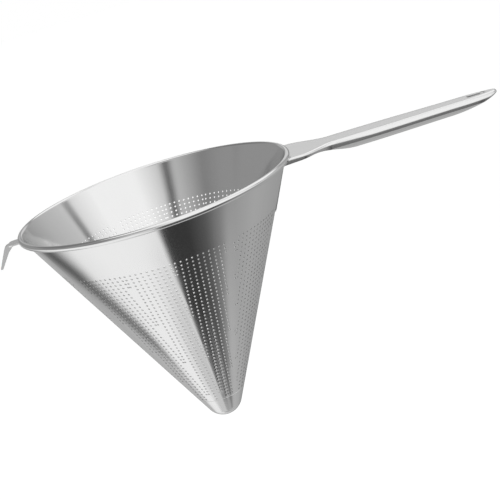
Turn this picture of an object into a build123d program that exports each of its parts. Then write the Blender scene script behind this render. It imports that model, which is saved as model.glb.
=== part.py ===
from build123d import *
import math
import os

# A chinois: a fine conical strainer of stainless sheet with a rolled rim, a closed round
# tip, a pressed channel handle and a hook that rests on the edge of a pot.
# Frame: origin at the centre of the rim bead, +Z up, handle along +X, hook along -X.

# Cone, rim bead and tip, in mm
rim_outer_diameter = 200.0
bead_diameter = 4.1
cone_inset_at_rim = 3.33
cone_half_angle = 26.0
cone_sheet = 0.8
curl_end_gap = 0.25
wire_clearance = 0.05
tip_cap_mouth_radius = 18.9
tip_dome_radius = 14.5

# Openings in the cone: a plain grid that stands for much finer punched holes. Its end rows
# are placed along the wall, from the height of the bead's centre and from the cap's mouth.
opening_rows = 12
openings_round = 20
opening_size = 3.4
first_row_below_rim = 36.02
last_row_above_cap = 6.09

# Welded seats: what is left between a strip and the surface that it is welded to
weld_gap = 0.1

# Handle, measured outward from the rim's outside where it is a place along the handle, but
# for the nose and the scoop under it, which are measured back from the handle's end
handle_sheet = 1.2
handle_length = 160.0
handle_droop = 1.65
handle_root_width = 49.5
handle_neck_width = 24.0
handle_grip_width = 25.6
handle_heel_width = 20.0
shoulder_start = 4.0
shoulder_end = 32.0
grip_widest = 60.0
nose_length = 28.0
handle_bend_radius = 2.6
lip_start_depth = 5.7
lip_turn_in = 2.4
root_flange_depth = 4.3
neck_flange_depth = 3.2
grip_depth = 9.1
heel_depth = 8.6
nose_flange_depth = 2.0
deepening_start = 14.0
deepening_end = 48.0
scoop_length = 38.0
hang_slot_length = 14.0
hang_slot_width = 7.0
hang_slot_to_nose = 8.5

# Bracket that carries the handle
bracket_sheet = 1.2
bracket_width = 20.0
bracket_drop = 38.0
bracket_corner_radius = 4.0
bracket_bend_radius = 2.5
bracket_upper_leg = 30.0

# Pot hook, with its reaches and the finger's start measured outward from the rim's outside
hook_sheet = 1.0
hook_arm_width = 14.0
hook_arm_reach = 7.5
hook_arm_corner = 2.5
hook_finger_width = 5.0
hook_finger_start = 4.0
hook_corner_reach = 10.3
hook_bend_radius = 5.0
hook_splay = 29.3
hook_leg_length = 17.6
hook_depth_at_bend = 3.6
hook_depth_at_tip = 1.7
hook_heel_drop = 4.0
hook_tip_rise = 0.7
hook_tip_solid = 3.0
hook_foot_width = 12.0
hook_foot_drop = 13.0
hook_foot_corner = 3.0
hook_foot_bend_radius = 2.0

# One overrun serves all cuts
overrun = 6.0

# Sizes that follow from those above
bead_radius = bead_diameter / 2
bead_ring_radius = rim_outer_diameter / 2 - bead_radius
wire_radius = bead_radius - cone_sheet - wire_clearance
cone_radius_at_rim = rim_outer_diameter / 2 - cone_inset_at_rim
slope = math.radians(cone_half_angle)
along_wall = Vector(math.sin(slope), math.cos(slope))
out_of_wall = Vector(math.cos(slope), -math.sin(slope))
strip_top = -(bead_radius + weld_gap)
rim_edge = rim_outer_diameter / 2
nose_tip = rim_edge + handle_length
nose_root = nose_tip - nose_length
scoop_root = nose_tip - scoop_length
finger_root = rim_edge + hook_finger_start


def cone_radius(z):
    """Outside radius of the cone at a height."""
    return cone_radius_at_rim + z * math.tan(slope)


def cone_height(radius):
    """Height at which the outside of the cone has a radius."""
    return (radius - cone_radius_at_rim) / math.tan(slope)


def turned(face):
    """A section drawn in X and Y, stood up in the XZ plane and turned about the axis."""
    return revolve(Plane.XZ * face, Axis.Z)


def wall_band(low_z, high_z, inner, outer):
    """Section of a band along the wall between two heights, at two distances outside it."""
    low = Vector(cone_radius(low_z), low_z)
    high = Vector(cone_radius(high_z), high_z)
    corners = [low + out_of_wall * inner, high + out_of_wall * inner,
               high + out_of_wall * outer, low + out_of_wall * outer]
    return make_face(Polyline(*corners, close=True))


def make_strainer_cone():
    """Perforated conical sheet with its top edge rolled outward into a hollow bead."""
    joint_z = cone_height(tip_cap_mouth_radius)
    wall = wall_band(joint_z, 0, -cone_sheet, 0)
    ring = Pos(bead_ring_radius, 0) * Circle(bead_radius)
    hollow = Pos(bead_ring_radius, 0) * Circle(bead_radius - cone_sheet)
    closing_line = wall_band(-bead_diameter, 0, 0, curl_end_gap) - hollow
    above_ring = Pos(bead_ring_radius, bead_diameter) * Rectangle(bead_diameter * 2, bead_diameter * 2)
    inside_edge = wall - above_ring
    section = inside_edge + ring - hollow - (closing_line & half_below())
    return punch_openings(turned(section))


def punch_openings(cone):
    """The cone with its rows of openings, each as wide along the wall as round it."""
    first_slant = cone_radius_at_rim / math.sin(slope) - first_row_below_rim
    last_slant = tip_cap_mouth_radius / math.sin(slope) + last_row_above_cap
    row_step = (first_slant - last_slant) / (opening_rows - 1)
    punches = []
    for row in range(opening_rows):
        slant = first_slant - row_step * row
        radius = slant * math.sin(slope)
        turn = math.degrees(opening_size / radius)
        window = Rectangle(overrun, opening_size * math.cos(slope))
        window = Pos(radius, cone_height(radius)) * window
        punch = revolve(Plane.XZ * window, Axis.Z, revolution_arc=turn)
        for column in range(openings_round):
            punches.append(Rot(0, 0, (column + 0.5) * 360 / openings_round - turn / 2) * punch)
    return cone - punches


def half_below():
    """Half plane below the centre of the bead, to hold the closing line to the under side."""
    return Pos(bead_ring_radius, -bead_diameter) * Rectangle(bead_diameter * 2, bead_diameter * 2)


def make_rim_wire():
    """Stiffening wire inside the bead."""
    return turned(Pos(bead_ring_radius, 0) * Circle(wire_radius))


def make_tip_cap():
    """Spun cap: a short skirt in line with the cone, closed by a round dome."""
    apex_z = cone_height(0)
    dome_z = apex_z + tip_dome_radius / math.sin(slope)
    dome_centre = Vector(0, dome_z)
    mouth = Vector(tip_cap_mouth_radius, cone_height(tip_cap_mouth_radius))
    inner_mouth = mouth - out_of_wall * cone_sheet
    outer_tangent = dome_centre + out_of_wall * tip_dome_radius
    inner_tangent = dome_centre + out_of_wall * (tip_dome_radius - cone_sheet)
    outer_foot = Vector(0, dome_z - tip_dome_radius)
    inner_foot = Vector(0, dome_z - tip_dome_radius + cone_sheet)
    edges = [Line(mouth, outer_tangent),
             TangentArc(outer_tangent, outer_foot, tangent=-along_wall),
             Line(outer_foot, inner_foot),
             TangentArc(inner_tangent, inner_foot, tangent=-along_wall),
             Line(inner_tangent, inner_mouth),
             Line(inner_mouth, mouth)]
    return turned(make_face(edges))


def cone_keep_out():
    """Room that the cone takes up, with the weld gap round it."""
    top_z = overrun
    section = Polyline((0, cone_height(0)),
                       Vector(0, cone_height(0)) + out_of_wall * weld_gap,
                       Vector(cone_radius(top_z), top_z) + out_of_wall * weld_gap,
                       (0, top_z), close=True)
    return turned(make_face(section))


def handle_outline(inset, root):
    """Plan of the handle from its root to its nose, drawn in by an inset all round."""
    half_root = handle_root_width / 2 - inset
    half_neck = handle_neck_width / 2 - inset
    half_grip = handle_grip_width / 2 - inset
    half_heel = handle_heel_width / 2 - inset
    shoulder = Vector(rim_edge + shoulder_start, half_root)
    neck = Vector(rim_edge + shoulder_end, half_neck)
    grip = Vector(rim_edge + grip_widest, half_grip)
    side = [Line((root, half_root), shoulder),
            TangentArc(shoulder, (shoulder + neck) / 2, tangent=(1, 0)),
            TangentArc(neck, (shoulder + neck) / 2, tangent=(-1, 0)),
            Spline(neck, grip, (nose_root, half_heel), tangents=[(1, 0), (1, 0)])]
    other_side = [mirror(edge, about=Plane.XZ) for edge in side]
    nose = EllipticalCenterArc((nose_root, 0), nose_length - inset, half_heel,
                               start_angle=-90, arc_size=180)
    end = Line((root, -half_root), (root, half_root))
    return make_face(side + other_side + [nose, end])


def handle_block(inset, top, root, bend_radius):
    """Solid form of the pressed handle: upright sides with a bent top edge and turned-in lips."""
    plan = handle_outline(inset, root)
    sides = Pos(0, 0, -lip_start_depth) * extrude(plan, lip_start_depth - top)
    rim_edges = sides.edges().group_by(Axis.Z)[-1].sort_by(Axis.X)
    sides = fillet(rim_edges[1:], bend_radius)
    lip_plan = handle_outline(inset + lip_turn_in, root)
    lips = loft([Pos(0, 0, -lip_start_depth) * plan, Pos(0, 0, -grip_depth) * lip_plan], ruled=True)
    return sides + lips


def handle_side_view(root):
    """Side view of the handle: shallow at the root, deep in the grip, scooped at the nose."""
    shallow = Vector(rim_edge + deepening_start, -neck_flange_depth)
    deep = Vector(rim_edge + deepening_end, -grip_depth)
    heel = Vector(scoop_root, -heel_depth)
    tip = Vector(nose_tip, -nose_flange_depth)
    bottom = [Line((root, -root_flange_depth), shallow),
              TangentArc(shallow, (shallow + deep) / 2, tangent=(1, 0)),
              TangentArc(deep, (shallow + deep) / 2, tangent=(-1, 0)),
              Line(deep, heel),
              TangentArc(heel, tip, tangent=(1, 0))]
    rest = Polyline(tip, (nose_tip + overrun, -nose_flange_depth), (nose_tip + overrun, overrun),
                    (root, overrun), (root, -root_flange_depth))
    face = make_face(bottom + [rest])
    return extrude(Plane.XZ * face, handle_root_width, both=True)


def handle_place():
    """Where the handle sits: its top touches the under side of the bead and falls away outward."""
    return Pos(bead_ring_radius, 0, strip_top) * Rot(0, handle_droop, 0) * Pos(-bead_ring_radius, 0, 0)


def make_handle():
    """Pressed channel handle with its hanging slot."""
    root = cone_radius(strip_top) - overrun - handle_bend_radius * 2
    outside = handle_block(0, 0, root, handle_bend_radius)
    inside = handle_block(handle_sheet, handle_sheet, root - overrun, handle_bend_radius - handle_sheet)
    channel = (outside & handle_side_view(root)) - inside
    slot_centre = nose_tip - hang_slot_to_nose - hang_slot_length / 2
    slot = Pos(slot_centre, 0, -grip_depth) * SlotOverall(hang_slot_length, hang_slot_width)
    channel = channel - extrude(slot, grip_depth + overrun)
    return handle_place() * channel - cone_keep_out()


def below(z):
    """All the room near the rim below a height."""
    return Pos(0, 0, z) * Box(rim_outer_diameter * 2, rim_outer_diameter, rim_outer_diameter,
                              align=(Align.CENTER, Align.CENTER, Align.MAX))


def wall_patch(sheet, low_z, width, corner):
    """Strip lying down the outside of the cone toward +X, with round lower corners."""
    band = turned(wall_band(low_z - overrun, overrun, weld_gap, weld_gap + sheet))
    height = overrun * 2 - low_z
    window = Pos(0, low_z + height / 2) * RectangleRounded(width, height, corner)
    return band & extrude(Plane.YZ * window, rim_outer_diameter)


def make_handle_bracket():
    """L-shaped plate: one leg welded down the cone, the other under the top of the handle."""
    under_plate = strip_top - handle_sheet - bracket_sheet
    start = cone_radius(under_plate) - overrun
    upper = Box(overrun + bracket_upper_leg, bracket_width, bracket_sheet,
                align=(Align.MIN, Align.CENTER, Align.MAX))
    upper = handle_place() * Pos(start, 0, -handle_sheet) * upper
    lower = wall_patch(bracket_sheet, strip_top - bracket_drop, bracket_width, bracket_corner_radius)
    bracket = (upper + lower) & handle_place() * below(-handle_sheet)
    inside_bend = Vector(cone_radius(under_plate) + bracket_sheet, 0, under_plate)
    bracket = fillet(bracket.edges().sort_by_distance(inside_bend)[0], bracket_bend_radius)
    return bracket - cone_keep_out()


def make_hook_finger():
    """Finger of the hook: a narrow channel bent down and splayed outward, open towards the cone."""
    splay = math.radians(hook_splay)
    down = Vector(math.sin(splay), -math.cos(splay))
    inward = Vector(-math.cos(splay), -math.sin(splay))
    arm_under = strip_top - hook_sheet
    corner = Vector(rim_edge + hook_corner_reach, strip_top)
    tip = corner + down * hook_leg_length
    tip_inside = tip + inward * hook_depth_at_tip - down * hook_tip_rise
    heel = corner + down * hook_heel_drop + inward * hook_depth_at_bend
    outline = make_face(Polyline((finger_root, strip_top), corner, tip, tip_inside, heel,
                                 (finger_root, arm_under), close=True))
    outline = fillet(outline.vertices().sort_by_distance(corner)[0], hook_bend_radius)
    inner_corner = corner + inward * hook_sheet + down * hook_sheet * (1 - math.sin(splay)) / math.cos(splay)
    inner_tip = inner_corner + down * (hook_leg_length - hook_tip_solid)
    hollow = make_face(Polyline((finger_root - overrun, arm_under), inner_corner, inner_tip,
                                inner_tip + inward * overrun,
                                (finger_root - overrun, inner_tip.Y), close=True))
    hollow = fillet(hollow.vertices().sort_by_distance(inner_corner)[0], hook_bend_radius - hook_sheet)
    finger = extrude(Plane.XZ * outline, hook_finger_width / 2, both=True)
    return finger - extrude(Plane.XZ * hollow, hook_finger_width / 2 - hook_sheet, both=True)


def make_pot_hook():
    """Hook: a foot on the cone, a flat arm under the bead and a channel-shaped finger."""
    start = cone_radius(strip_top) - overrun
    arm_under = strip_top - hook_sheet
    arm = RectangleRounded((rim_edge + hook_arm_reach - start) * 2, hook_arm_width, hook_arm_corner)
    arm = Pos(start, 0, arm_under) * extrude(arm, hook_sheet)
    foot = wall_patch(hook_sheet, strip_top - hook_foot_drop, hook_foot_width, hook_foot_corner)
    strap = (arm + foot) & below(strip_top)
    inside_bend = Vector(cone_radius(arm_under) + hook_sheet, 0, arm_under)
    strap = fillet(strap.edges().sort_by_distance(inside_bend)[0], hook_foot_bend_radius)
    return Rot(0, 0, 180) * (strap + make_hook_finger() - cone_keep_out())


pieces = {
    "strainer_cone": make_strainer_cone,
    "rim_wire": make_rim_wire,
    "tip_cap": make_tip_cap,
    "handle": make_handle,
    "handle_bracket": make_handle_bracket,
    "pot_hook": make_pot_hook,
}

os.makedirs("parts", exist_ok=True)
for name, make in pieces.items():
    export_step(make(), f"parts/{name}.step")
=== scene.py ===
"""A chinois: a fine conical strainer of brushed stainless steel, hung in a white studio."""
import logging
import math
from dataclasses import dataclass
from enum import Enum
from typing import Callable, Iterator, Sequence

import bmesh
import bpy
from mathutils import Matrix, Vector


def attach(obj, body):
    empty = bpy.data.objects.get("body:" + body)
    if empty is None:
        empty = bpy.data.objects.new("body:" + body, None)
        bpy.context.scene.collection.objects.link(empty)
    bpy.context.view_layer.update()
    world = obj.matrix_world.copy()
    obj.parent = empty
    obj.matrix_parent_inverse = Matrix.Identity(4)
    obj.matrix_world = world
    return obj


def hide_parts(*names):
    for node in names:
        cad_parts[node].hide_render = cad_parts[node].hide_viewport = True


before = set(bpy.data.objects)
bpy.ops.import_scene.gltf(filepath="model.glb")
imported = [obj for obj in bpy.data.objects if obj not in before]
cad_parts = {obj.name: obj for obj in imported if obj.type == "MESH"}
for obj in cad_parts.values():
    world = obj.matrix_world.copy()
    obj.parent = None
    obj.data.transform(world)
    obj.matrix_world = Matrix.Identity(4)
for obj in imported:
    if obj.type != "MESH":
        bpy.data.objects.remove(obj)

log = logging.getLogger("chinois")

MM = 0.001
BODY = "root"
WELD_DISTANCE = 0.002 * MM
SMOOTH_ANGLE = math.radians(35)
FLAT_ANGLE = math.radians(0.5)
WHITE = (1.0, 1.0, 1.0, 1.0)

Point = tuple[float, float]
Station = tuple[float, float, float, float]
Colour = tuple[float, float, float, float]
MeshPart = bmesh.types.BMFace | bmesh.types.BMEdge


def ease(share: float) -> float:
    """Go from 0 to 1 with a soft start and a soft end."""
    return share * share * (3 - 2 * share)


def between(low: float, high: float, place: float) -> float:
    """How far a place lies on the way from low to high, kept between 0 and 1."""
    return min(1.0, max(0.0, (place - low) / (high - low)))


def grey(value: float) -> Colour:
    """A neutral colour of one brightness."""
    return (value, value, value, 1.0)


class Grain(Enum):
    """Which way the polishing lines of a finish run over a piece."""

    DOWN_THE_CONE = "down the cone"
    ALONG_THE_HANDLE = "along the handle"
    ROUND_THE_RIM = "round the rim"


class Parts(Enum):
    """Which parts of a mesh a selection is made of."""

    FACES = "FACE"
    EDGES = "EDGE"


class Socket(Enum):
    """What a socket of a shader node group carries."""

    NUMBER = "NodeSocketFloat"
    PLACE = "NodeSocketVector"


class Bench:
    """Modelling steps that all the pieces share, done with the same tools as by hand."""

    @staticmethod
    def clear() -> None:
        """Leave edit mode and select nothing."""
        if bpy.context.object and bpy.context.object.mode != "OBJECT":
            bpy.ops.object.mode_set(mode="OBJECT")
        bpy.ops.object.select_all(action="DESELECT")

    @staticmethod
    def take(piece: bpy.types.Object) -> None:
        """Select one object alone and make it active.

        Args:
            piece: The object to work on.
        """
        Bench.clear()
        piece.select_set(True)
        bpy.context.view_layer.objects.active = piece

    @staticmethod
    def name(piece: bpy.types.Object, name: str) -> bpy.types.Object:
        """Name an object and its mesh alike.

        Args:
            piece: The object.
            name: Its name.

        Returns:
            The same object.
        """
        piece.name = name
        piece.data.name = name
        return piece

    @staticmethod
    def pick(mesh: bpy.types.Mesh, parts: Parts, test: Callable[[MeshPart], bool]) -> int:
        """Select the faces or the edges of the mesh in edit mode that pass a test.

        Args:
            mesh: The mesh that is open in edit mode.
            parts: Whether faces or edges are wanted.
            test: Says of one of them whether it is wanted.

        Returns:
            How many are selected.
        """
        bpy.ops.mesh.select_mode(type=parts.value)
        bpy.ops.mesh.select_all(action="DESELECT")
        shape = bmesh.from_edit_mesh(mesh)
        found = [part for part in (shape.faces if parts is Parts.FACES else shape.edges) if test(part)]
        for part in found:
            part.select_set(True)
        bmesh.update_edit_mesh(mesh)
        return len(found)

    @staticmethod
    def move_vertices(mesh: bpy.types.Mesh, place: Callable[[Vector], Vector]) -> None:
        """Send every vertex of a mesh where a function says.

        Args:
            mesh: The mesh, in object mode.
            place: Gives a vertex's new place from its old one.
        """
        for vertex in mesh.vertices:
            vertex.co = place(vertex.co)
        mesh.update()

    @staticmethod
    def edit(piece: bpy.types.Object, step: Callable[[], object]) -> None:
        """Run one edit-mode step on the whole of a piece.

        Args:
            piece: The object to change.
            step: Runs the operator.
        """
        Bench.take(piece)
        bpy.ops.object.mode_set(mode="EDIT")
        bpy.ops.mesh.select_all(action="SELECT")
        step()
        bpy.ops.object.mode_set(mode="OBJECT")

    @staticmethod
    def merge(piece: bpy.types.Object, distance: float = WELD_DISTANCE) -> None:
        """Merge the vertices of a piece that lie on each other."""
        Bench.edit(piece, lambda: bpy.ops.mesh.remove_doubles(threshold=distance))

    @staticmethod
    def face_outward(piece: bpy.types.Object) -> None:
        """Turn all faces of a closed piece outward."""
        Bench.edit(piece, lambda: bpy.ops.mesh.normals_make_consistent(inside=False))

    @staticmethod
    def modify(piece: bpy.types.Object, kind: str, **settings: object) -> None:
        """Add a modifier, set it and apply it.

        Args:
            piece: The object to change.
            kind: The modifier's type, such as SOLIDIFY.
            **settings: The modifier's own settings.
        """
        Bench.take(piece)
        modifier = piece.modifiers.new(kind.title(), kind)
        for key, value in settings.items():
            setattr(modifier, key, value)
        bpy.ops.object.modifier_apply(modifier=modifier.name)

    @staticmethod
    def round_edges(piece: bpy.types.Object, width: float, angle: float, **settings: object) -> None:
        """Round the edges where a piece turns by more than an angle.

        Args:
            piece: The object to change.
            width: How far the rounding reaches from the edge.
            angle: The angle.
            **settings: More of the modifier's own settings.
        """
        Bench.modify(piece, "BEVEL", width=width, segments=2, limit_method="ANGLE",
                     angle_limit=angle, **settings)

    @staticmethod
    def smooth(piece: bpy.types.Object) -> None:
        """Shade a piece smooth with its folds and cut edges left sharp."""
        Bench.take(piece)
        bpy.ops.object.shade_smooth_by_angle(angle=SMOOTH_ANGLE)

    @staticmethod
    def draw(points: Sequence[Point]) -> bpy.types.Object:
        """Draw a closed line in the XZ plane, corner by corner.

        Args:
            points: Radius and height of each corner.

        Returns:
            The object that holds the line, still in edit mode with the line selected.
        """
        Bench.clear()
        bpy.ops.mesh.primitive_plane_add(size=MM, enter_editmode=True)
        bpy.ops.mesh.select_mode(type="VERT")
        bpy.ops.mesh.merge(type="CENTER")
        piece = bpy.context.object
        bpy.ops.transform.translate(value=(points[0][0], 0, points[0][1]))
        for (x0, z0), (x1, z1) in zip(points, points[1:]):
            bpy.ops.mesh.extrude_region_move(
                TRANSFORM_OT_translate={"value": (x1 - x0, 0, z1 - z0)})
        bpy.ops.mesh.select_all(action="DESELECT")
        shape = bmesh.from_edit_mesh(piece.data)
        for vertex in shape.verts:
            if len(vertex.link_edges) == 1:
                vertex.select_set(True)
        bmesh.update_edit_mesh(piece.data)
        bpy.ops.mesh.edge_face_add()
        bpy.ops.mesh.select_all(action="SELECT")
        return piece

    @staticmethod
    def spin(points: Sequence[Point], steps: int, name: str) -> bpy.types.Object:
        """Turn a closed section about the Z axis, as on a spinning lathe.

        Args:
            points: Radius and height of each corner of the section.
            steps: How many steps go round.
            name: Name of the piece.

        Returns:
            The turned piece, closed and with its faces outward.
        """
        piece = Bench.draw(points)
        bpy.ops.mesh.spin(steps=steps, angle=math.tau, center=(0, 0, 0), axis=(0, 0, 1))
        bpy.ops.object.mode_set(mode="OBJECT")
        Bench.merge(piece)
        Bench.face_outward(piece)
        Bench.smooth(piece)
        return Bench.name(piece, name)

    @staticmethod
    def copy_node(node: str, name: str) -> bpy.types.Object:
        """Copy a CAD node into a piece of its own and merge its loose triangles into faces.

        Args:
            node: Name of the CAD node.
            name: Name of the new piece.

        Returns:
            The copy.
        """
        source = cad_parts[node]
        piece = bpy.data.objects.new(name, source.data.copy())
        bpy.context.scene.collection.objects.link(piece)
        piece.data.name = name
        piece.data.materials.clear()
        Bench.merge(piece)
        Bench.edit(piece, lambda: bpy.ops.mesh.dissolve_limited(angle_limit=FLAT_ANGLE))
        return piece


@dataclass(frozen=True)
class ConeSizes:
    """Sizes of the strainer's cone. Lengths are in metres and angles in radians."""

    rim_radius: float = 96.67 * MM
    half_angle: float = math.radians(26)
    sheet: float = 0.8 * MM
    bead_ring_radius: float = 97.95 * MM
    bead_radius: float = 2.05 * MM
    cap_mouth_radius: float = 18.9 * MM
    dome_radius: float = 14.5 * MM
    joint_gap: float = 0.08 * MM

    @property
    def apex_z(self) -> float:
        """Height of the point where the cone's outside would end."""
        return -self.rim_radius / math.tan(self.half_angle)

    def radius(self, z: float) -> float:
        """Outside radius of the cone at a height."""
        return self.rim_radius + z * math.tan(self.half_angle)

    def slant(self, radius: float) -> float:
        """Distance along the wall from the apex to where the cone has a radius."""
        return radius / math.sin(self.half_angle)

    def on_wall(self, slant: float, azimuth: float) -> Vector:
        """Point on the outside of the cone.

        Args:
            slant: Distance along the wall from the apex.
            azimuth: Angle round the axis from +X.

        Returns:
            The point.
        """
        radius = slant * math.sin(self.half_angle)
        height = self.apex_z + slant * math.cos(self.half_angle)
        return Vector((radius * math.cos(azimuth), radius * math.sin(azimuth), height))


@dataclass
class PerforatedCone:
    """The conical sheet, punched in four like groups of three panels.

    The columns of a panel run parallel to its middle line. The middles of a group's panels lie
    close together, and a blank strip parts each group from the next. One more stretch of the
    wall, on the hook's side, is left plain.
    """

    sizes: ConeSizes
    groups: int = 4
    middles: tuple[float, ...] = (math.radians(-128.8), math.radians(-104.6), math.radians(-80.4))
    strip: tuple[float, float] = (math.radians(-66.0), math.radians(-61.2))
    plain_wall: tuple[float, float] = (math.radians(-151.2), math.radians(-143.6))
    first_row: float = 186.65 * MM
    rows: int = 43
    row_pitch: float = 3.36 * MM
    column_pitch: float = 3.9 * MM
    half_columns: int = 8
    hole_width: float = 1.4 * MM
    hole_corners: int = 8
    seam_margin: float = 0.72 * MM
    plain_steps: tuple[float, ...] = (195 * MM, 208 * MM)
    level_tolerance: float = 0.05 * MM
    wall_top: float = 0.25 * MM

    def build(self) -> bpy.types.Object:
        """Punch flat panels, wrap them round the cone and give the sheet its thickness.

        Returns:
            The cone, with one material slot for the sheet and one for its cut edges.
        """
        wrapped = [self._wrapped(self._punched_panel(middle, left, right), middle)
                   for middle, left, right in self._panels()]
        Bench.clear()
        for piece in wrapped:
            piece.select_set(True)
        bpy.context.view_layer.objects.active = wrapped[0]
        bpy.ops.object.join()
        cone = bpy.context.object
        Bench.merge(cone)
        self._blank_bands(cone)
        # The first slot is for the sheet and the second one for its cut edges.
        for _ in range(2):
            cone.data.materials.append(None)
        Bench.modify(cone, "SOLIDIFY", thickness=self.sizes.sheet, offset=-1, material_offset_rim=1)
        Bench.smooth(cone)
        return Bench.name(cone, "perforated_cone")

    def _panels(self) -> Iterator[tuple[float, float, float]]:
        """Every panel round the cone, with its edges halfway to its neighbours' middles.

        Yields:
            Azimuth of the panel's middle line, and the angles from there to its left and its
            right edge.
        """
        turn = math.tau / self.groups
        middles = [middle + turn * group for group in range(self.groups) for middle in self.middles]
        before = [middles[-1] - math.tau] + middles[:-1]
        after = middles[1:] + [middles[0] + math.tau]
        for left, middle, right in zip(before, middles, after):
            yield middle, (middle - left) / 2, (right - middle) / 2

    def _punched_panel(self, middle: float, left: float, right: float) -> bpy.types.Object:
        """Model one panel laid flat: across is X and the distance from the apex is Y.

        Args:
            middle: Azimuth of the panel's middle line.
            left: Angle round the cone from there to the panel's left edge.
            right: The same to its right edge.

        Returns:
            The flat panel.
        """
        slopes = [angle * math.sin(self.sizes.half_angle) for angle in (right, left)]
        columns = 2 * self.half_columns + 1
        Bench.clear()
        bpy.ops.mesh.primitive_grid_add(
            x_subdivisions=columns, y_subdivisions=self.rows, size=1, enter_editmode=True)
        panel = bpy.context.object
        width, height = columns * self.column_pitch, self.rows * self.row_pitch
        middle_row = self.first_row - (self.rows - 1) / 2 * self.row_pitch
        bpy.ops.transform.resize(value=(width, height, 1), center_override=(0, 0, 0))
        bpy.ops.transform.translate(value=(0, middle_row, 0))
        self._punch(panel, lambda cell: self._has_hole(cell, middle, slopes))
        for side, slope in zip((1, -1), slopes):
            bpy.ops.mesh.select_all(action="SELECT")
            bpy.ops.mesh.bisect(
                plane_co=(0, 0, 0), plane_no=(side, -slope, 0),
                clear_outer=True, clear_inner=False, threshold=WELD_DISTANCE)
        bpy.ops.object.mode_set(mode="OBJECT")
        return panel

    def _has_hole(self, cell: bmesh.types.BMFace, middle: float, slopes: Sequence[float]) -> bool:
        """Whether a cell of a panel's grid gets a hole.

        Args:
            cell: The cell, on the flat panel.
            middle: Azimuth of the panel's middle line.
            slopes: How far the right and the left edge leave the middle line for each unit of
                distance from the apex.

        Returns:
            Whether it lies inside the panel's edges and off the blank strips.
        """
        centre = cell.calc_center_median()
        slope = slopes[0] if centre.x >= 0 else slopes[1]
        if (centre.y * slope - abs(centre.x)) / math.hypot(1, slope) < self.seam_margin:
            return False
        azimuth = middle + centre.x / (centre.y * math.sin(self.sizes.half_angle))
        blanks = ((self.strip, math.tau / self.groups), (self.plain_wall, math.tau))
        return not any((azimuth - start) % turn < end - start for (start, end), turn in blanks)

    def _punch(self, panel: bpy.types.Object, has_hole: Callable[[MeshPart], bool]) -> None:
        """Cut eight-sided holes in the cells of a flat panel in edit mode.

        Args:
            panel: The flat panel.
            has_hole: Says of a cell whether it gets a hole.
        """
        count = Bench.pick(panel.data, Parts.FACES, has_hole)
        log.info("holes in a panel: %d", count)
        bpy.ops.mesh.inset(
            thickness=(self.row_pitch - self.hole_width) / 2, use_individual=True)
        shape = bmesh.from_edit_mesh(panel.data)
        for face in [f for f in shape.faces if f.select]:
            centre = face.calc_center_median()
            for vertex in face.verts:
                vertex.co.x = centre.x + math.copysign(self.hole_width / 2, vertex.co.x - centre.x)
        bmesh.update_edit_mesh(panel.data)
        corner = self.hole_width / (2 + math.sqrt(2))
        bpy.ops.mesh.bevel(offset=corner, segments=1, affect="VERTICES")
        Bench.pick(panel.data, Parts.FACES, self._is_hole)
        bpy.ops.mesh.delete(type="FACE")

    def _is_hole(self, face: bmesh.types.BMFace) -> bool:
        """Whether a face has a hole's corners and is no larger than a hole."""
        return len(face.verts) == self.hole_corners and face.calc_area() < self.hole_width ** 2

    def _wrapped(self, panel: bpy.types.Object, middle: float) -> bpy.types.Object:
        """Wrap a flat panel on the cone.

        Args:
            panel: The flat panel.
            middle: Azimuth of the panel's middle line.

        Returns:
            The same panel, wrapped.
        """
        def wrap(place: Vector) -> Vector:
            """Carry a point of the flat panel to the cone."""
            turn = place.x / (place.y * math.sin(self.sizes.half_angle))
            return self.sizes.on_wall(place.y, middle + turn)

        Bench.move_vertices(panel.data, wrap)
        return panel

    def _blank_bands(self, cone: bpy.types.Object) -> None:
        """Carry the sheet on above the holes to the rim and below them to the tip cap.

        Args:
            cone: The wrapped and joined panels.
        """
        sizes = self.sizes
        top_of_holes = self.first_row + self.row_pitch / 2
        foot_of_holes = self.first_row - (self.rows - 0.5) * self.row_pitch
        rim = sizes.slant(sizes.radius(self.wall_top))
        joint = sizes.slant(sizes.cap_mouth_radius) + sizes.joint_gap / 2
        Bench.take(cone)
        bpy.ops.object.mode_set(mode="EDIT")
        for edge_slant, steps in ((top_of_holes, (*self.plain_steps, rim)), (foot_of_holes, (joint,))):
            height = sizes.on_wall(edge_slant, 0).z
            Bench.pick(cone.data, Parts.EDGES, lambda edge: edge.is_boundary and all(
                abs(vertex.co.z - height) < self.level_tolerance for vertex in edge.verts))
            reached = edge_slant
            for slant in steps:
                bpy.ops.mesh.extrude_region_move(TRANSFORM_OT_translate={"value": (0, 0, 0)})
                share = slant / reached
                bpy.ops.transform.resize(
                    value=(share, share, share), center_override=(0, 0, sizes.apex_z))
                reached = slant
        bpy.ops.object.mode_set(mode="OBJECT")


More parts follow.
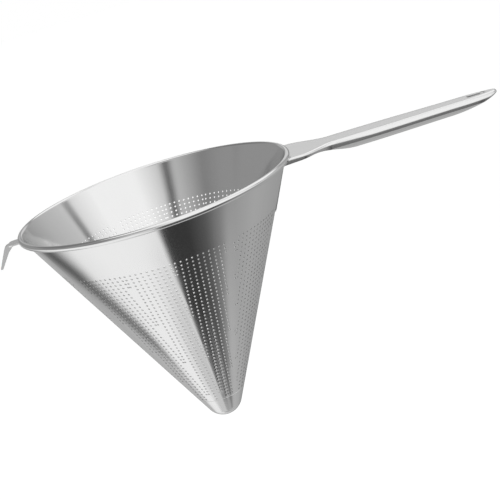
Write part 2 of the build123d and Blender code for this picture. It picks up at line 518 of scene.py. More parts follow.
@dataclass
class RimBead:
    """The top edge of the sheet, rolled outward into a hollow bead."""

    sizes: ConeSizes
    steps_round: int = 288
    steps_of_curl: int = 30
    end_gap: float = 0.25 * MM

    def build(self) -> bpy.types.Object:
        """Spin the curled section of the bead.

        Returns:
            The bead.
        """
        sizes = self.sizes
        wall = (sizes.bead_ring_radius - sizes.rim_radius) * math.cos(sizes.half_angle)
        end = wall - self.end_gap
        outside = list(self._arc(sizes.bead_radius, wall + sizes.sheet, end))
        inside = list(self._arc(sizes.bead_radius - sizes.sheet, wall, end))
        return Bench.spin(outside + inside[::-1], self.steps_round, "rolled_rim")

    def _arc(self, radius: float, start_reach: float, end_reach: float) -> Iterator[Point]:
        """Points of an arc that leaves the wall, goes over the top and ends under the bead.

        Args:
            radius: Radius of the arc about the centre of the bead's section.
            start_reach: Where the arc starts, square to the wall and inward of that centre.
            end_reach: The same for the place where it ends.

        Yields:
            Radius and height.
        """
        inward = math.pi - self.sizes.half_angle
        start = inward + math.acos(start_reach / radius)
        end = inward + math.acos(end_reach / radius) - math.tau
        for step in range(self.steps_of_curl + 1):
            angle = start + (end - start) * step / self.steps_of_curl
            yield (self.sizes.bead_ring_radius + radius * math.cos(angle), radius * math.sin(angle))


@dataclass
class TipCap:
    """The spun cap that closes the point of the cone."""

    sizes: ConeSizes
    steps_round: int = 192
    dome_steps: int = 18
    edge_round: float = 0.12 * MM

    def build(self) -> bpy.types.Object:
        """Spin the cap: a short skirt in line with the cone and a round dome.

        Returns:
            The cap.
        """
        outside = list(self._shell(0.0))
        inside = list(self._shell(self.sizes.sheet))
        return Bench.spin(outside + inside[::-1], self.steps_round, "tip_dome")

    def _shell(self, depth: float) -> Iterator[Point]:
        """Points from the cap's mouth down to its pole, at a depth below its outside.

        Args:
            depth: Distance inward from the outside.

        Yields:
            Radius and height.
        """
        sizes, slope = self.sizes, self.sizes.half_angle
        dome_z = sizes.apex_z + sizes.dome_radius / math.sin(slope)
        slant = sizes.slant(sizes.cap_mouth_radius) - sizes.joint_gap / 2
        edge_in = self.edge_round if depth == 0.0 else 0.0
        for along, inward in ((slant, depth + edge_in), (slant - self.edge_round, depth)):
            yield (along * math.sin(slope) - inward * math.cos(slope),
                   sizes.apex_z + along * math.cos(slope) + inward * math.sin(slope))
        radius = sizes.dome_radius - depth
        for step in range(self.dome_steps + 1):
            angle = -slope + (slope - math.pi / 2) * step / self.dome_steps
            across = 0.0 if step == self.dome_steps else radius * math.cos(angle)
            yield (across, dome_z + radius * math.sin(angle))


@dataclass
class Handle:
    """The pressed channel handle, measured from the cone's axis before it is tilted."""

    LIP_SHARES = (1.0, 0.5, 0.12, 0.0)
    STEP = 0.1 * MM

    sizes: ConeSizes
    top: float = -2.15 * MM
    droop: float = math.radians(1.65)
    sheet: float = 1.2 * MM
    nose: float = 259.9 * MM
    nose_start: float = 232 * MM
    heel_half: float = 10 * MM
    shoulder_start: float = 104 * MM
    shoulder_end: float = 132 * MM
    root_half: float = 24.75 * MM
    neck_half: float = 12 * MM
    grip_half: float = 12.8 * MM
    grip_widest: float = 160 * MM
    root_place: float = 92 * MM
    root_depth: float = 4.3 * MM
    deepening_start: float = 114 * MM
    neck_depth: float = 3.2 * MM
    deepening_end: float = 148 * MM
    grip_depth: float = 9.1 * MM
    scoop_start: float = 222 * MM
    heel_depth: float = 8.6 * MM
    nose_depth: float = 2.0 * MM
    scoop_power: float = 1.6
    bend: float = 3.2 * MM
    root_bend: float = 1.4 * MM
    most_bend: float = 0.8
    lip_start: float = 5.2 * MM
    lip_turn_in: float = 2.9 * MM
    crown: float = 0.3 * MM
    crown_level: float = 0.4
    slot_length: float = 14 * MM
    slot_width: float = 7 * MM
    slot_to_nose: float = 8.5 * MM
    slot_corners: int = 48
    punch_height: float = 12 * MM
    edge_round: float = 0.18 * MM
    edge_angle: float = math.radians(50)
    side_stations: int = 110
    nose_stations: int = 22
    bend_steps: int = 6
    top_steps: int = 8
    top_ends: float = 0.9
    weld_gap: float = 0.1 * MM
    blank_weld: float = 0.01 * MM

    def build(self) -> bpy.types.Object:
        """Fold a flat blank into the handle, give it its thickness, pierce it and tilt it.

        Returns:
            The handle.
        """
        Bench.clear()
        stations = self._stations()
        around, across = len(stations), len(self._section(self.grip_widest))
        bpy.ops.mesh.primitive_grid_add(
            x_subdivisions=around - 1, y_subdivisions=across - 1, size=1)
        handle = bpy.context.object

        def fold(place: Vector) -> Vector:
            """Carry a point of the blank to its place on the folded handle."""
            station = stations[round((place.x + 0.5) * (around - 1))]
            return self._folded(station, round((place.y + 0.5) * (across - 1)))

        Bench.move_vertices(handle.data, fold)
        Bench.merge(handle, self.blank_weld)
        self._turn_up(handle)
        Bench.modify(handle, "SOLIDIFY", thickness=self.sheet, offset=-1, use_even_offset=True)
        self._pierce(handle)
        Bench.round_edges(handle, self.edge_round, self.edge_angle)
        Bench.smooth(handle)
        tilt = (Matrix.Translation((self.sizes.bead_ring_radius, 0, self.top))
                @ Matrix.Rotation(self.droop, 4, "Y")
                @ Matrix.Translation((-self.sizes.bead_ring_radius, 0, 0)))
        handle.data.transform(tilt)
        return Bench.name(handle, "handle_channel")

    def _turn_up(self, handle: bpy.types.Object) -> None:
        """Make the top of the folded sheet face up."""
        if sum(face.normal.z * face.area for face in handle.data.polygons) < 0:
            Bench.edit(handle, lambda: bpy.ops.mesh.flip_normals())

    def _pierce(self, handle: bpy.types.Object) -> None:
        """Cut the hanging slot near the nose.

        Args:
            handle: The folded handle with its thickness.
        """
        Bench.clear()
        centre = self.nose - self.slot_to_nose - self.slot_length / 2
        bpy.ops.mesh.primitive_cylinder_add(
            vertices=self.slot_corners, radius=self.slot_width / 2, depth=self.punch_height,
            location=(centre, 0, 0))
        punch = bpy.context.object
        bpy.ops.object.transform_apply(location=True, rotation=True, scale=True)
        stretch = (self.slot_length - self.slot_width) / 2
        Bench.move_vertices(punch.data, lambda place: Vector((
            place.x + math.copysign(stretch, place.x - centre), place.y, place.z)))
        Bench.modify(handle, "BOOLEAN", object=punch, operation="DIFFERENCE", solver="EXACT")
        bpy.data.objects.remove(punch)

    def _half_width(self, x: float) -> float:
        """Half of the handle's width.

        Args:
            x: Distance along from the cone's axis.

        Returns:
            Half of the width there.
        """
        if x < self.shoulder_end:
            fall = self.root_half - self.neck_half
            return self.root_half - fall * ease(between(self.shoulder_start, self.shoulder_end, x))
        if x < self.grip_widest:
            share = between(self.shoulder_end, self.grip_widest, x)
            swell = self.grip_half - self.neck_half
            return self.neck_half + swell * math.sin(share * math.pi / 2)
        share = (x - self.grip_widest) / (self.nose_start - self.grip_widest)
        return self.grip_half + (self.heel_half - self.grip_half) * ease(share)

    def _root(self) -> float:
        """Distance from the cone's axis to where the handle's corners meet the cone."""
        return math.sqrt(self.sizes.radius(self.top) ** 2 - self.root_half ** 2) + self.weld_gap

    def _stations(self) -> list[Station]:
        """Places round the handle's outline with the direction that leads inward at each.

        Returns:
            Distance along, distance across and the inward direction, from one side of the
            root round the nose to the other.
        """
        root = self._root()
        side = []
        for step in range(self.side_stations + 1):
            x = root + (self.nose_start - root) * step / self.side_stations
            rise = (self._half_width(x + self.STEP) - self._half_width(x - self.STEP)) / (2 * self.STEP)
            if x < self.shoulder_start or x > self.nose_start - 2 * self.STEP:
                rise = 0.0
            length = math.hypot(1, rise)
            side.append((x, -self._half_width(x), rise / length, 1 / length))
        nose_length = self.nose - self.nose_start
        turn = []
        for step in range(1, self.nose_stations):
            angle = -math.pi / 2 + math.pi * step / self.nose_stations
            x = self.nose_start + nose_length * math.cos(angle)
            y = self.heel_half * math.sin(angle)
            inward = Vector((-math.cos(angle) / nose_length, -math.sin(angle) / self.heel_half))
            inward.normalize()
            turn.append((x, y, inward.x, inward.y))
        mirrored = [(x, -y, ix, -iy) for x, y, ix, iy in reversed(side)]
        return side + turn + mirrored

    def _depth(self, x: float) -> float:
        """Depth of the folded sides.

        Args:
            x: Distance along from the cone's axis.

        Returns:
            How far the sides reach down there.
        """
        if x < self.deepening_start:
            share = between(self.root_place, self.deepening_start, x)
            return self.root_depth + (self.neck_depth - self.root_depth) * share
        if x < self.deepening_end:
            share = between(self.deepening_start, self.deepening_end, x)
            return self.neck_depth + (self.grip_depth - self.neck_depth) * ease(share)
        if x < self.scoop_start:
            share = between(self.deepening_end, self.scoop_start, x)
            return self.grip_depth + (self.heel_depth - self.grip_depth) * share
        share = (x - self.scoop_start) / (self.nose - self.scoop_start)
        return self.heel_depth + (self.nose_depth - self.heel_depth) * share ** self.scoop_power

    def _section(self, x: float) -> list[Point]:
        """Section of one side of the handle, from the edge of its lip to the edge of its top.

        Args:
            x: Distance along from the cone's axis.

        Returns:
            Distance inward from the outline and height, with the steps over the top left
            out but counted as places of their own.
        """
        depth = self._depth(x)
        grow = between(self.shoulder_start, self.grip_widest, x)
        bend = min(self.root_bend + (self.bend - self.root_bend) * grow, depth * self.most_bend)
        turn = self.lip_turn_in / (self.grip_depth - self.lip_start)
        lip_depth = max(depth - self.lip_start, 0.0)
        side_foot = min(depth, self.lip_start)
        section = [(lip_depth * share * turn, -(side_foot + lip_depth * share))
                   for share in self.LIP_SHARES]
        section.append((0.0, -(side_foot + bend) / 2))
        for step in range(self.bend_steps + 1):
            angle = math.pi / 2 * step / self.bend_steps
            section.append((bend * (1 - math.cos(angle)), -bend * (1 - math.sin(angle))))
        section += [(bend, 0.0)] * self.top_steps
        return section

    def _folded(self, station: Station, step: int) -> Vector:
        """Place of one point of the blank on the folded handle.

        Args:
            station: A place round the outline, with its inward direction.
            step: How far the point is from the lip's edge, counted in steps of the section.

        Returns:
            The point, before the handle is tilted.
        """
        x, y, inward_x, inward_y = station
        section = self._section(x)
        inward, z = section[step]
        px, py = x + inward * inward_x, y + inward * inward_y
        over = step - (len(section) - self.top_steps - 1)
        if over > 0:
            share = over / self.top_steps
            goal_x = min(px, self.nose - self.heel_half * self.top_ends)
            px, py = px + (goal_x - px) * share, py * (1 - share)
        z += self._crown_at(px, py)
        if px < self.shoulder_start:
            z_place = z + self.top
            wall = math.sqrt(max(self.sizes.radius(z_place) ** 2 - py * py, 0.0)) + self.weld_gap
            root = self._root()
            share = (self.shoulder_start - px) / (self.shoulder_start - root)
            px += (wall - root) * max(0.0, share)
        return Vector((px, py, z))

    def _crown_at(self, x: float, y: float) -> float:
        """How far the domed top stands above or below its edge line.

        Args:
            x: Distance along from the cone's axis.
            y: Distance across.

        Returns:
            The height there, below nought near the edges.
        """
        grow = ease(between(self.shoulder_start, self.shoulder_end, x))
        share = min(1.0, abs(y) / self._half_width(min(x, self.nose_start)))
        return self.crown * grow * (self.crown_level - share * share)


@dataclass
class RoundedCopy:
    """A piece that takes its form from its CAD node and gets its cut edges rounded."""

    node: str
    name: str
    edge_round: float
    edge_angle: float = math.radians(40)

    def build(self) -> bpy.types.Object:
        """Copy the node's form and round its edges.

        Returns:
            The piece.
        """
        piece = Bench.copy_node(self.node, self.name)
        Bench.smooth(piece)
        Bench.round_edges(piece, self.edge_round, self.edge_angle, harden_normals=True)
        return piece


@dataclass
class Bracket(RoundedCopy):
    """The strap that carries the handle: one leg down the cone, one under the handle."""

    node: str = "handle_bracket"
    name: str = "handle_strap"
    edge_round: float = 0.1 * MM


@dataclass
class PotHook(RoundedCopy):
    """The hook opposite the handle that rests on the edge of a pot."""

    node: str = "pot_hook"
    name: str = "edge_hook"
    edge_round: float = 0.15 * MM


class Nodes:
    """Short ways to place and join shader nodes in one tree."""

    def __init__(self, tree: bpy.types.NodeTree) -> None:
        """Work on a tree of nodes."""
        self.tree = tree

    @classmethod
    def of(cls, owner: bpy.types.Material | bpy.types.World) -> "Nodes":
        """Start the shader of a material or a world.

        Args:
            owner: The material or world.

        Returns:
            Its nodes, with none placed yet.
        """
        owner.use_nodes = True
        owner.node_tree.nodes.clear()
        return cls(owner.node_tree)

    def add(self, kind: str, inputs: dict[str | int, object] | None = None,
            **settings: object) -> bpy.types.Node:
        """Add a node, set it and join or fill its inputs.

        Args:
            kind: The node's type.
            inputs: Values or sockets by input name or number.
            **settings: The node's own settings.

        Returns:
            The node.
        """
        node = self.tree.nodes.new(kind)
        for key, value in settings.items():
            setattr(node, key, value)
        for key, value in (inputs or {}).items():
            if isinstance(value, bpy.types.NodeSocket):
                self.tree.links.new(value, node.inputs[key])
            else:
                node.inputs[key].default_value = value
        return node

    def maths(self, operation: str, first: object, second: object = 0.0) -> bpy.types.NodeSocket:
        """Do one sum and return the socket with its result."""
        return self.add("ShaderNodeMath", {0: first, 1: second}, operation=operation).outputs[0]

    def mixed(self, first: object, first_share: float, second: object,
              second_share: float) -> bpy.types.NodeSocket:
        """Add two values in given shares.

        Args:
            first: The first value.
            first_share: How much of it goes in.
            second: The second value.
            second_share: How much of that goes in.

        Returns:
            The socket with the sum.
        """
        return self.maths("ADD", self.maths("MULTIPLY", first, first_share),
                          self.maths("MULTIPLY", second, second_share))

    def apart(self, point: bpy.types.NodeSocket) -> bpy.types.bpy_prop_collection:
        """Take a vector apart and return the sockets with its X, Y and Z."""
        return self.add("ShaderNodeSeparateXYZ", {0: point}).outputs

    def together(self, x: object, y: object, z: object) -> bpy.types.NodeSocket:
        """Put a vector together from its X, Y and Z."""
        return self.add("ShaderNodeCombineXYZ", {0: x, 1: y, 2: z}).outputs[0]

    def from_axis(self, x: object, y: object) -> bpy.types.NodeSocket:
        """Distance from the Z axis."""
        return self.maths("SQRT", self.mixed(x, x, y, y))

    def blend(self, mask: object, under: object, over: object) -> bpy.types.NodeSocket:
        """Lay one colour over another where a mask says.

        Args:
            mask: Where the upper one shows.
            under: The lower colour.
            over: The upper colour.

        Returns:
            The socket with both.
        """
        return self.add("ShaderNodeMix", {0: mask, 6: under, 7: over}, data_type="RGBA").outputs[2]

    def ramp(self, value: object, start: object, end: object, low: float = 0.0, high: float = 1.0,
             **settings: object) -> bpy.types.NodeSocket:
        """Carry one range of values to another.

        Args:
            value: The value.
            start: The value that gives the low result.
            end: The value that gives the high result.
            low: The low result.
            high: The high result.
            **settings: The node's own settings.

        Returns:
            The socket with the result.
        """
        return self.add("ShaderNodeMapRange", {
            "Value": value, "From Min": start, "From Max": end, "To Min": low, "To Max": high},
            **settings).outputs[0]


class NodeGroup:
    """A shader node group that is built the first time that it is asked for."""

    NAME = ""
    INPUTS: dict[str, Socket] = {}
    OUTPUTS: dict[str, Socket] = {}

    @classmethod
    def get(cls) -> bpy.types.NodeTree:
        """Build the group, unless it is there already.

        Returns:
            The group.
        """
        found = bpy.data.node_groups.get(cls.NAME)
        if found:
            return found
        group = bpy.data.node_groups.new(cls.NAME, "ShaderNodeTree")
        for sockets, way in ((cls.INPUTS, "INPUT"), (cls.OUTPUTS, "OUTPUT")):
            for name, kind in sockets.items():
                group.interface.new_socket(name, in_out=way, socket_type=kind.value)
        nodes = Nodes(group)
        nodes.add("NodeGroupOutput", cls.results(nodes, nodes.add("NodeGroupInput").outputs))
        return group

    @classmethod
    def results(cls, nodes: Nodes, given: bpy.types.bpy_prop_collection) -> dict[str, object]:
        """Place the group's nodes.

        Args:
            nodes: The group's nodes.
            given: The sockets of its inputs, by name.

        Returns:
            The socket for each output, by name.
        """
        raise NotImplementedError


class GrainGroup(NodeGroup):
    """Polishing lines: fine scratches that are long one way and thin the other, and clouds."""

    NAME = "polishing lines"
    INPUTS = {"Place": Socket.PLACE, "Across": Socket.NUMBER, "Along": Socket.NUMBER,
              "Soft scale": Socket.NUMBER}
    OUTPUTS = {"Lines": Socket.NUMBER, "Clouds": Socket.NUMBER}
    FINE = {"Scale": 1.0, "Detail": 3.0, "Roughness": 0.65}
    WIDE = {"Scale": 0.11, "Detail": 2.0, "Roughness": 0.5}
    CLOUDS = {"Detail": 3.0, "Roughness": 0.55}
    FINE_SHARE = 0.65
    WIDE_SHARE = 0.35

    @classmethod
    def results(cls, nodes: Nodes, given: bpy.types.bpy_prop_collection) -> dict[str, object]:
        """Stretch noise along the grain.

        Args:
            nodes: The group's nodes.
            given: The sockets of its inputs, by name.

        Returns:
            The socket for each output, by name.
        """
        x, y, z = nodes.apart(given["Place"])
        stretched = nodes.together(
            nodes.maths("MULTIPLY", x, given["Across"]), nodes.maths("MULTIPLY", y, given["Across"]),
            nodes.maths("MULTIPLY", z, given["Along"]))
        fine = nodes.add("ShaderNodeTexNoise", {"Vector": stretched, **cls.FINE}).outputs[0]
        wide = nodes.add("ShaderNodeTexNoise", {"Vector": stretched, **cls.WIDE}).outputs[0]
        clouds = nodes.add("ShaderNodeTexNoise", {
            "Vector": given["Place"], "Scale": given["Soft scale"], **cls.CLOUDS}).outputs[0]
        return {"Lines": nodes.mixed(fine, cls.FINE_SHARE, wide, cls.WIDE_SHARE), "Clouds": clouds}


class ConePlaceGroup(NodeGroup):
    """The cone unrolled: two parts of the place go round it and the third down it."""

    NAME = "cone unrolled"
    INPUTS = {"Point": Socket.PLACE}
    OUTPUTS = {"Place": Socket.PLACE}
    LEAST_RADIUS = 0.5 * MM
    ROUND_RADIUS = 60 * MM

    @classmethod
    def results(cls, nodes: Nodes, given: bpy.types.bpy_prop_collection) -> dict[str, object]:
        """Carry every point outward to one radius.

        Args:
            nodes: The group's nodes.
            given: The sockets of its inputs, by name.

        Returns:
            The socket for each output, by name.
        """
        x, y, z = nodes.apart(given["Point"])
        radius = nodes.maths("MAXIMUM", nodes.from_axis(x, y), cls.LEAST_RADIUS)
        around = [nodes.maths("MULTIPLY", nodes.maths("DIVIDE", part, radius), cls.ROUND_RADIUS)
                  for part in (x, y)]
        return {"Place": nodes.together(*around, z)}


@dataclass(frozen=True)
class BrushedSteel:
    """A polished or brushed stainless steel finish."""

    name: str
    grain: Grain
    light: float = 0.9
    dark: float = 0.82
    roughness: float = 0.2
    roughness_spread: float = 0.1
    across: float = 2600.0
    along: float = 30.0
    soft_scale: float = 40.0
    lines_share: float = 0.6
    clouds_share: float = 0.4
    smoothest: float = 0.25
    roughest: float = 0.75
    bump: float = 0.04
    bump_height: float = 0.02 * MM
    rim_turn: float = 0.1
    blue: float = 0.998

    def build(self) -> bpy.types.Material:
        """Make the material from its node groups.

        Returns:
            The material.
        """
        material = bpy.data.materials.new(self.name)
        nodes = Nodes.of(material)
        point = nodes.add("ShaderNodeTexCoord").outputs["Object"]
        grain = nodes.add("ShaderNodeGroup", {
            "Place": self._place(nodes, point), "Across": self.across, "Along": self.along,
            "Soft scale": self.soft_scale}, node_tree=GrainGroup.get()).outputs
        mixed = nodes.mixed(grain["Lines"], self.lines_share, grain["Clouds"], self.clouds_share)
        colour = nodes.blend(mixed, self._steel(self.dark), self._steel(self.light))
        rough = nodes.ramp(mixed, self.smoothest, self.roughest,
                           self.roughness, self.roughness + self.roughness_spread)
        bump = nodes.add("ShaderNodeBump", {
            "Height": grain["Lines"], "Strength": self.bump, "Distance": self.bump_height}).outputs[0]
        shader = nodes.add("ShaderNodeBsdfPrincipled", {
            "Base Color": colour, "Metallic": 1.0, "Roughness": rough, "Normal": bump})
        nodes.add("ShaderNodeOutputMaterial", {"Surface": shader.outputs[0]})
        return material

    def _steel(self, value: float) -> Colour:
        """The grey of the steel at one brightness."""
        return (value, value, value * self.blue, 1.0)

    def _place(self, nodes: Nodes, point: bpy.types.NodeSocket) -> bpy.types.NodeSocket:
        """Turn object coordinates so that the third one runs along the grain.

        Args:
            nodes: The material's nodes.
            point: Object coordinates.

        Returns:
            The socket with the turned coordinates.
        """
        if self.grain is Grain.DOWN_THE_CONE:
            return nodes.add("ShaderNodeGroup", {"Point": point},
                             node_tree=ConePlaceGroup.get()).outputs["Place"]
        x, y, z = nodes.apart(point)
        if self.grain is Grain.ALONG_THE_HANDLE:
            return nodes.together(y, z, x)
        turn = nodes.maths("MULTIPLY", nodes.maths("ARCTAN2", y, x), self.rim_turn)
        return nodes.together(nodes.from_axis(x, y), z, turn)


class CardGroup(NodeGroup):
    """A soft-edged card: a mask of the directions that the card covers."""

    NAME = "studio card"
    INPUTS = dict.fromkeys(("Azimuth", "Elevation", "Card azimuth", "Card elevation", "Half width",
                            "Half height", "Softness", "Skew"), Socket.NUMBER)
    OUTPUTS = {"Mask": Socket.NUMBER}

    @classmethod
    def results(cls, nodes: Nodes, given: bpy.types.bpy_prop_collection) -> dict[str, object]:
        """Cover a leaning block of directions.

        Args:
            nodes: The group's nodes.
            given: The sockets of its inputs, by name.

        Returns:
            The socket for each output, by name.
        """
        rise = nodes.maths("SUBTRACT", given["Elevation"], given["Card elevation"])
        centre = nodes.maths("ADD", given["Card azimuth"], nodes.maths("MULTIPLY", rise, given["Skew"]))
        turn = nodes.add("ShaderNodeMath", {
            0: nodes.maths("SUBTRACT", given["Azimuth"], centre), 1: 180.0, 2: -180.0},
            operation="WRAP").outputs[0]
        soft = nodes.maths("MULTIPLY", given["Softness"], 0.5)
        across = cls._covered(nodes, turn, given["Half width"], soft)
        upright = cls._covered(nodes, rise, given["Half height"], soft)
        return {"Mask": nodes.maths("MULTIPLY", across, upright)}

    @staticmethod
    def _covered(nodes: Nodes, away: bpy.types.NodeSocket, half: bpy.types.NodeSocket,
                 soft: bpy.types.NodeSocket) -> bpy.types.NodeSocket:
        """One inside the card and nought outside, with a soft edge between.

        Args:
            nodes: The group's nodes.
            away: Angle from the card's middle, with its sign.
            half: Half of the card's size that way.
            soft: Half of the soft edge's width.

        Returns:
            The socket with the cover.
        """
        return nodes.ramp(nodes.maths("ABSOLUTE", away), nodes.maths("ADD", half, soft),
                          nodes.maths("SUBTRACT", half, soft), interpolation_type="SMOOTHSTEP")


@dataclass(frozen=True)
class StudioRing:
    """A band of the surroundings: how bright it is round the horizon, from stop to stop.

    Going up, the ring begins to show at the elevation `starts` and is full at `full`. Each
    stop is an azimuth in degrees and a brightness.
    """

    starts: float
    full: float
    stops: tuple[tuple[float, float], ...]


@dataclass(frozen=True)
class StudioCard:
    """A white card or a dark flag that stands before the surroundings. Angles are in degrees."""

    name: str
    azimuth: float
    elevation: float
    half_width: float
    half_height: float
    brightness: float
    softness: float = 5.0
    skew: float = 0.0


@dataclass
class Studio:
    """White surroundings with cards and flags, one soft lamp, a pale floor and the camera."""

    camera_place: tuple[float, float, float] = (0.0, -0.68506, 0.14861)
    camera_turn: tuple[float, float, float, float] = (0.789894, 0.590000, 0.067701, -0.152916)
    lens: float = 70.86
    sensor_width: float = 36.0
    soft_light: float = 0.6
    floor_z: float = -0.75
    floor_size: float = 60.0
    floor_cells: int = 12
    floor_tone: float = 0.93
    floor_lift: float = 0.45
    lamp_place: tuple[float, float, float] = (-0.5, -0.6, 1.1)
    lamp_aim: tuple[float, float, float] = (0.02, 0.0, -0.08)
    lamp_size: float = 1.0
    lamp_power: float = 6.0
    rings: tuple[StudioRing, ...] = (
        StudioRing(-91, -90, (
            (-180, 0.95), (-105, 0.95), (-98, 0.04), (-60, 0.04), (-35, 0.1), (-18, 0.23),
            (10, 0.38), (90, 0.6), (150, 0.9), (180, 0.95))),
        StudioRing(-54, -46, (
            (-180, 0.95), (-115, 0.9), (-97, 0.55), (-91, 0.05), (-50, 0.05), (-20, 0.3), (25, 0.42),
            (72, 0.33), (92, 0.34), (105, 0.48), (131, 0.42), (146, 0.58), (158, 0.9), (180, 0.95))),
        StudioRing(-8, 2, (
            (-180, 0.3), (-166, 0.29), (-148, 0.23), (-122, 0.5), (-97, 0.72), (-75, 1.0), (-30, 1.0),
            (-12, 0.84), (10, 0.58), (33, 0.49), (60, 0.33), (90, 0.25), (120, 0.3), (180, 0.3))),
    )
    cards: tuple[StudioCard, ...] = (
        StudioCard("pale card under the strainer", 0, -90, 180, 14.5, 0.42, softness=4),
        StudioCard("pale card low in front", -38, -80, 20, 7.5, 0.43, softness=4),
        StudioCard("paler card under it on the left", -155, -82, 47, 14, 0.62, softness=8),
        StudioCard("pale card low on the right", 22, -70, 32, 14, 0.48, softness=14),
        StudioCard("pale card low on the left", 120, -42, 22, 7, 0.5, softness=9),
        StudioCard("grey card under the handle", -75, -24, 22, 17, 0.16, softness=8),
        StudioCard("dark bar on the left", 138.5, -36, 4, 17, 0.09, softness=8, skew=-1.13),
        StudioCard("dark bar over the bowl", -107, 37, 5, 12, 0.1, softness=10, skew=-1.0),
        StudioCard("dark bar on the right", 0, 27, 3.5, 10, 0.2, softness=5),
        StudioCard("grey card over the hook", 101, 13, 7, 7, 0.46, softness=5),
        StudioCard("dark wall on the right", 72, -4, 14, 8, 0.2, softness=10),
        StudioCard("grey card over the handle", 75, 14, 14, 9, 0.66, softness=6),
        StudioCard("white card behind, on the right", 48, 46, 48, 16, 1.0, softness=8),
        StudioCard("dark card behind, on the left", 138, 46, 38, 18, 0.2, softness=8),
        StudioCard("white card overhead", 0, 90, 180, 26, 1.0, softness=10),
    )

    def build(self) -> None:
        """Set up the view, the world, the floor and the lamp."""
        scene = bpy.context.scene
        scene.view_settings.view_transform = "Standard"
        self._camera(scene)
        self._world(scene)
        self._floor()
        self._lamp(scene)

    def _camera(self, scene: bpy.types.Scene) -> None:
        """Stand the camera where the photograph was taken from.

        Args:
            scene: The scene that it looks at.
        """
        data = bpy.data.cameras.new("camera")
        data.sensor_width = self.sensor_width
        data.lens = self.lens
        camera = bpy.data.objects.new("camera", data)
        camera.rotation_mode = "QUATERNION"
        camera.location = self.camera_place
        camera.rotation_quaternion = self.camera_turn
        scene.collection.objects.link(camera)
        scene.camera = camera

    def _round_ramp(self, nodes: Nodes, azimuth: bpy.types.NodeSocket,
                    ring: StudioRing) -> bpy.types.NodeSocket:
        """Brightness round the horizon from the stops of a ring.

        Args:
            nodes: The world's nodes.
            azimuth: Azimuth of the direction, in degrees.
            ring: The ring with its stops.

        Returns:
            The socket with the brightness.
        """
        share = nodes.maths("DIVIDE", nodes.maths("ADD", azimuth, 180.0), 360.0)
        ramp = nodes.add("ShaderNodeValToRGB", {0: share})
        elements = ramp.color_ramp.elements
        for number, (angle, brightness) in enumerate(ring.stops):
            place = (angle + 180.0) / 360.0
            element = elements[number] if number < 2 else elements.new(place)
            element.position = place
            element.color = grey(brightness)
        return ramp.outputs[0]

    def _surroundings(self, nodes: Nodes) -> bpy.types.NodeSocket:
        """Paint the rings and then the cards over them, by direction.

        Args:
            nodes: The world's nodes.

        Returns:
            The socket with the brightness of the surroundings.
        """
        x, y, z = nodes.apart(nodes.add("ShaderNodeTexCoord").outputs["Generated"])
        azimuth = nodes.maths("DEGREES", nodes.maths("ARCTAN2", y, x))
        elevation = nodes.maths("DEGREES", nodes.maths("ARCSINE", z))
        tone = self._round_ramp(nodes, azimuth, self.rings[0])
        for ring in self.rings[1:]:
            mask = nodes.ramp(elevation, ring.starts, ring.full)
            tone = nodes.blend(mask, tone, self._round_ramp(nodes, azimuth, ring))
        for card in self.cards:
            values = (azimuth, elevation, card.azimuth, card.elevation, card.half_width,
                      card.half_height, card.softness, card.skew)
            cover = nodes.add("ShaderNodeGroup", dict(zip(CardGroup.INPUTS, values)),
                              node_tree=CardGroup.get(), label=card.name)
            tone = nodes.blend(cover.outputs["Mask"], tone, grey(card.brightness))
        return tone

    def _world(self, scene: bpy.types.Scene) -> None:
        """White for the camera, rings and cards for the metal, soft light for the rest.

        Args:
            scene: The scene that gets the world.
        """
        scene.world = bpy.data.worlds.new("studio")
        nodes = Nodes.of(scene.world)
        tone = self._surroundings(nodes)
        path = nodes.add("ShaderNodeLightPath").outputs
        seen = nodes.maths("MAXIMUM", path["Is Glossy Ray"], path["Is Transmission Ray"])
        soft, metal, white = (
            nodes.add("ShaderNodeBackground", {"Color": colour, "Strength": strength}).outputs[0]
            for colour, strength in ((WHITE, self.soft_light), (tone, 1.0), (WHITE, 1.0)))
        with_metal = nodes.add("ShaderNodeMixShader", {0: seen, 1: soft, 2: metal}).outputs[0]
        complete = nodes.add("ShaderNodeMixShader", {
            0: path["Is Camera Ray"], 1: with_metal, 2: white}).outputs[0]
        nodes.add("ShaderNodeOutputWorld", {"Surface": complete})

    def _floor(self) -> None:
        """Lay a pale floor well below the hanging strainer."""
        Bench.clear()
        bpy.ops.mesh.primitive_grid_add(
            x_subdivisions=self.floor_cells, y_subdivisions=self.floor_cells,
            size=self.floor_size, location=(0, 0, self.floor_z))
        floor = Bench.name(bpy.context.object, "floor")
        material = bpy.data.materials.new("pale floor")
        nodes = Nodes.of(material)
        path = nodes.add("ShaderNodeLightPath").outputs
        matt = nodes.add("ShaderNodeBsdfDiffuse", {"Color": grey(self.floor_tone)}).outputs[0]
        lift = nodes.maths("MULTIPLY", path["Is Camera Ray"], self.floor_lift)
        glow = nodes.add("ShaderNodeEmission", {"Color": WHITE, "Strength": lift}).outputs[0]
        both = nodes.add("ShaderNodeAddShader", {0: matt, 1: glow}).outputs[0]
        nodes.add("ShaderNodeOutputMaterial", {"Surface": both})
        floor.data.materials.append(material)
        floor.visible_glossy = False

    def _lamp(self, scene: bpy.types.Scene) -> None:
        """Hang a soft square lamp that looks at the strainer.

        Args:
            scene: The scene that gets the lamp.
        """
        data = bpy.data.lights.new("key_lamp", "AREA")
        data.shape = "SQUARE"
        data.size = self.lamp_size
        data.energy = self.lamp_power
        lamp = bpy.data.objects.new("key_lamp", data)
        lamp.location = self.lamp_place
        looking = Vector(self.lamp_aim) - Vector(self.lamp_place)
        lamp.rotation_euler = looking.to_track_quat("-Z", "Y").to_euler()
        lamp.visible_glossy = False
        scene.collection.objects.link(lamp)


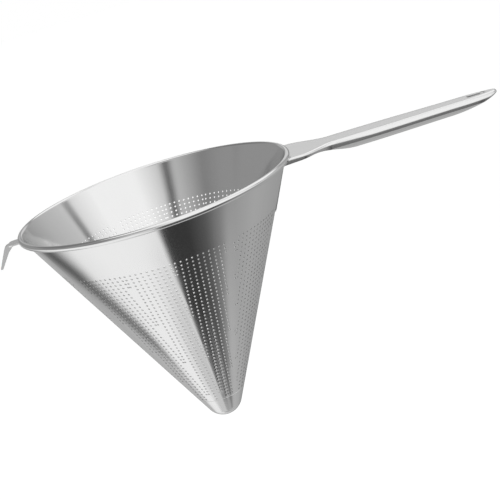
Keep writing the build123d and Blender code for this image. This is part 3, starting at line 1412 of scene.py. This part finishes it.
@dataclass
class Chinois:
    """The whole strainer: its pieces, their finishes and the bodies that they ride on."""

    SLOTS = {
        "strainer_cone": "strainer_cone_steel",
        "rim_wire": "rim_wire_steel",
        "tip_cap": "tip_cap_steel",
        "handle": "handle_steel",
        "handle_bracket": "handle_bracket_steel",
        "pot_hook": "pot_hook_steel",
    }

    cone_sizes: ConeSizes = ConeSizes()
    cone_finish: BrushedSteel = BrushedSteel(
        "cone steel", Grain.DOWN_THE_CONE, roughness=0.09, roughness_spread=0.07)
    rim_finish: BrushedSteel = BrushedSteel(
        "rim steel", Grain.ROUND_THE_RIM, roughness=0.06, roughness_spread=0.05)
    handle_finish: BrushedSteel = BrushedSteel(
        "handle steel", Grain.ALONG_THE_HANDLE, roughness=0.13, roughness_spread=0.07)
    hook_finish: BrushedSteel = BrushedSteel(
        "hook steel", Grain.ALONG_THE_HANDLE, roughness=0.2)
    edge_finish: BrushedSteel = BrushedSteel(
        "punched edge steel", Grain.DOWN_THE_CONE, light=0.66, dark=0.54, roughness=0.3)

    def build(self) -> list[bpy.types.Object]:
        """Build every piece in order, dress it and seat it on the frame.

        Returns:
            The pieces.
        """
        cone_steel = self.cone_finish.build()
        rim_steel = self.rim_finish.build()
        handle_steel = self.handle_finish.build()
        hook_steel = self.hook_finish.build()
        edge_steel = self.edge_finish.build()
        made = (
            (PerforatedCone(self.cone_sizes).build(), (cone_steel, edge_steel), "strainer_cone"),
            (RimBead(self.cone_sizes).build(), (rim_steel,), "strainer_cone"),
            (TipCap(self.cone_sizes).build(), (cone_steel,), "tip_cap"),
            (Handle(self.cone_sizes).build(), (handle_steel,), "handle"),
            (Bracket().build(), (hook_steel,), "handle_bracket"),
            (PotHook().build(), (hook_steel,), "pot_hook"),
        )
        for piece, finishes, node in made:
            self._seat(piece, finishes, node)
        # The wire inside the rolled rim keeps the form of its CAD node.
        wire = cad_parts["rim_wire"]
        wire.data.materials.clear()
        wire.data.materials.append(rim_steel)
        return [piece for piece, _, _ in made] + [wire]

    def _seat(self, piece: bpy.types.Object, finishes: Sequence[bpy.types.Material],
              node: str) -> None:
        """Dress a piece and let it stand for its CAD node.

        Args:
            piece: The finished piece.
            finishes: Its materials, one for each of its material slots.
            node: The CAD node that it replaces.
        """
        for number, finish in enumerate(finishes):
            if number < len(piece.data.materials):
                piece.data.materials[number] = finish
            else:
                piece.data.materials.append(finish)
        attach(piece, BODY)
        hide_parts(node)


def main() -> None:
    """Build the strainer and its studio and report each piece."""
    logging.basicConfig(level=logging.INFO, format="%(name)s: %(message)s")
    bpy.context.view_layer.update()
    for piece in Chinois().build():
        triangles = sum(len(face.vertices) - 2 for face in piece.data.polygons)
        log.info("%s: %d triangles", piece.name, triangles)
    Studio().build()


if __name__ == "__main__":
    main()
